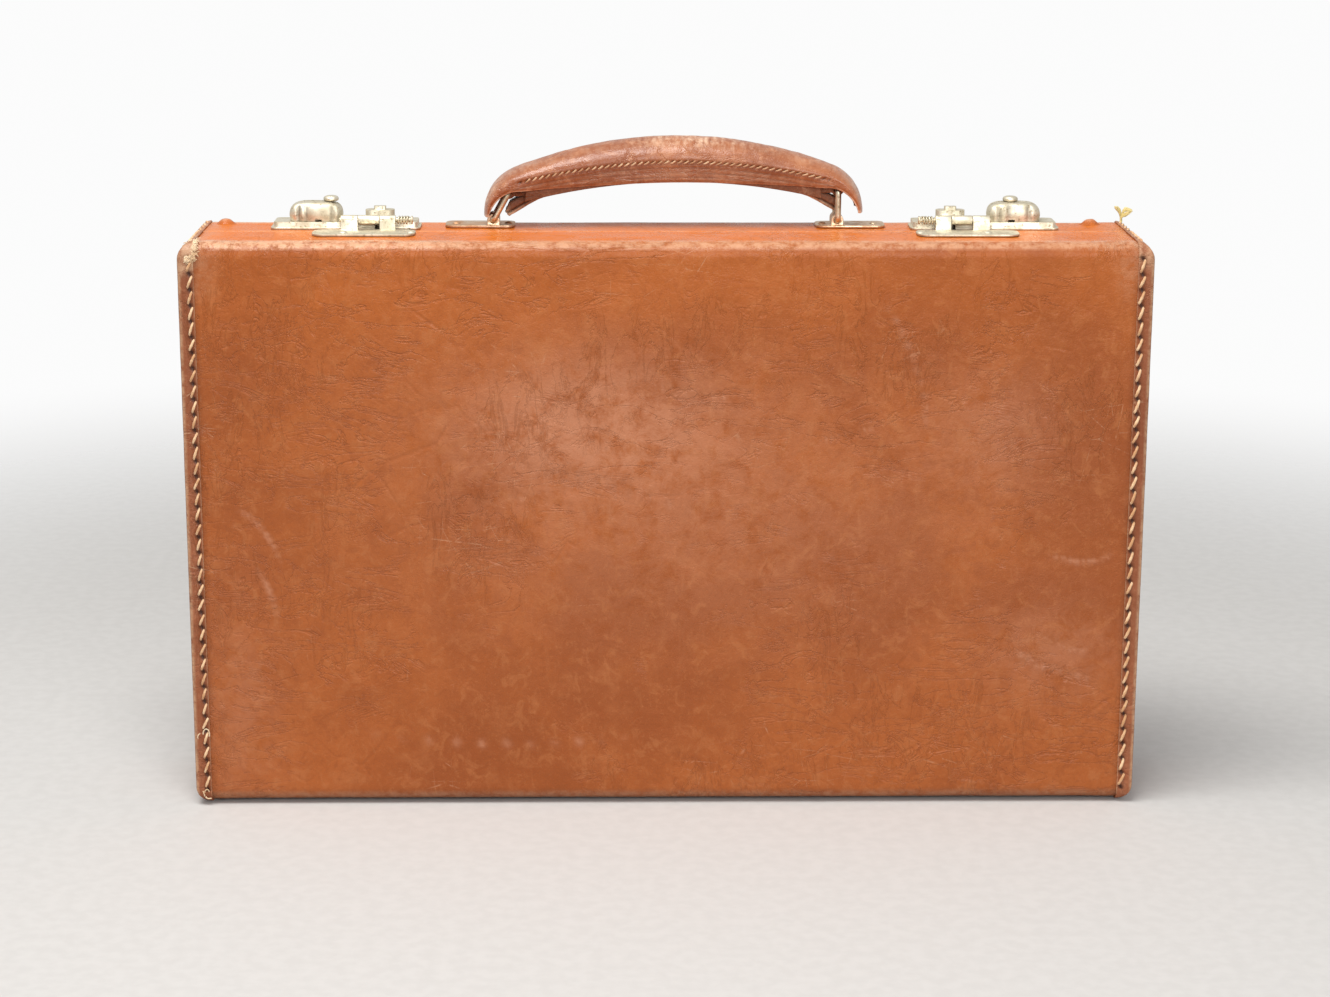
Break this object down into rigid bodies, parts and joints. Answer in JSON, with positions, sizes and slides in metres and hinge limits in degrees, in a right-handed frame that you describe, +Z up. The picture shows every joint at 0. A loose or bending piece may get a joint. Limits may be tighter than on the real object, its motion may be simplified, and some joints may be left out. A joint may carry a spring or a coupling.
{
  "type": "attache case",
  "caption": "Small vintage leather attache case standing on its hinge side, with arched leather handle on rings and nickel slide locks with sprung hasps.",
  "frame": {"origin": "middle of the surface that the closed case stands on, at the bottom centre of its bounding box", "axes": "+X along the case, +Y through its depth towards the body half, +Z up towards the handle"},
  "size_m": [0.356, 0.0608, 0.2491],
  "materials": {
    "leather_cover": "polished tan leather with wear",
    "leather_edge": "burnished cut edge",
    "fibre_board": "matte",
    "lining": "matte woven lining",
    "thread": "waxed linen thread",
    "nickel": "worn nickel plate",
    "brass": "aged brass"
  },
  "bodies": {
    "body": {"body_board": "fibre_board", "body_wrap": "leather_cover", "body_end_left": "leather_cover", "body_end_right": "leather_cover", "body_lining": "lining", "body_thread": "thread", "left_hinge_body_leaf": "brass", "left_hinge_pin": "brass", "right_hinge_body_leaf": "brass", "right_hinge_pin": "brass", "body_hinge_rivets": "brass", "left_handle_plate": "nickel", "right_handle_plate": "nickel", "handle_rivets": "nickel", "top_studs": "leather_cover", "left_lock_plate": "nickel", "left_lock_case": "nickel", "right_lock_plate": "nickel", "right_lock_case": "nickel", "body_lock_rivets": "nickel"},
    "lid": {"lid_board": "fibre_board", "lid_wrap": "leather_cover", "lid_end_left": "leather_cover", "lid_end_right": "leather_cover", "lid_lining": "lining", "lid_thread": "thread", "left_hinge_lid_leaf": "brass", "right_hinge_lid_leaf": "brass", "lid_hinge_rivets": "brass", "left_hasp_plate": "nickel", "left_hasp_pin": "nickel", "left_hasp_spring": "nickel", "right_hasp_plate": "nickel", "right_hasp_pin": "nickel", "right_hasp_spring": "nickel", "lid_lock_rivets": "nickel"},
    "left_hasp": {"left_hasp": "nickel"},
    "right_hasp": {"right_hasp": "nickel"},
    "left_slide": {"left_slide_bolt": "nickel", "left_slide_knob": "nickel"},
    "right_slide": {"right_slide_bolt": "nickel", "right_slide_knob": "nickel"},
    "left_ring": {"left_ring": "nickel"},
    "right_ring": {"right_ring": "nickel"},
    "handle": {"handle_cover": "leather_cover", "handle_core": "leather_edge", "handle_strap": "leather_edge", "handle_thread": "thread"}
  },
  "joints": [
    {"name": "lid_hinge", "type": "hinge", "parent": "body", "child": "lid", "pos_m": [0, 0, 0.002], "axis": [1, 0, 0], "range_deg": [0, 92]},
    {"name": "left_hasp_turn", "type": "hinge", "parent": "lid", "child": "left_hasp", "pos_m": [-0.1068, 0.001, 0.2191], "axis": [1, 0, 0], "range_deg": [0, 95]},
    {"name": "right_hasp_turn", "type": "hinge", "parent": "lid", "child": "right_hasp", "pos_m": [0.1068, 0.001, 0.2191], "axis": [1, 0, 0], "range_deg": [0, 95]},
    {"name": "left_knob_slide", "type": "slide", "parent": "body", "child": "left_slide", "axis": [-1, 0, 0], "range_m": [-0.0016, 0.0094]},
    {"name": "right_knob_slide", "type": "slide", "parent": "body", "child": "right_slide", "axis": [1, 0, 0], "range_m": [-0.006, 0.005]},
    {"name": "left_ring_swing", "type": "hinge", "parent": "body", "child": "left_ring", "pos_m": [-0.0647, 0.015, 0.2176], "axis": [0, 1, 0], "range_deg": [-28.9, 0]},
    {"name": "handle_turn", "type": "hinge", "parent": "left_ring", "child": "handle", "pos_m": [-0.0589, 0.015, 0.22811], "axis": [0, 1, 0], "range_deg": [-3, 32]},
    {"name": "right_ring_swing", "type": "hinge", "parent": "body", "child": "right_ring", "pos_m": [0.0647, 0.015, 0.2176], "axis": [0, 1, 0], "range_deg": [-31, 1]}
  ],
  "couplings": [
    {"joint": "handle_turn", "follows": "left_ring_swing", "ratio": -1.048},
    {"joint": "right_ring_swing", "follows": "left_ring_swing", "ratio": 1}
  ]
}
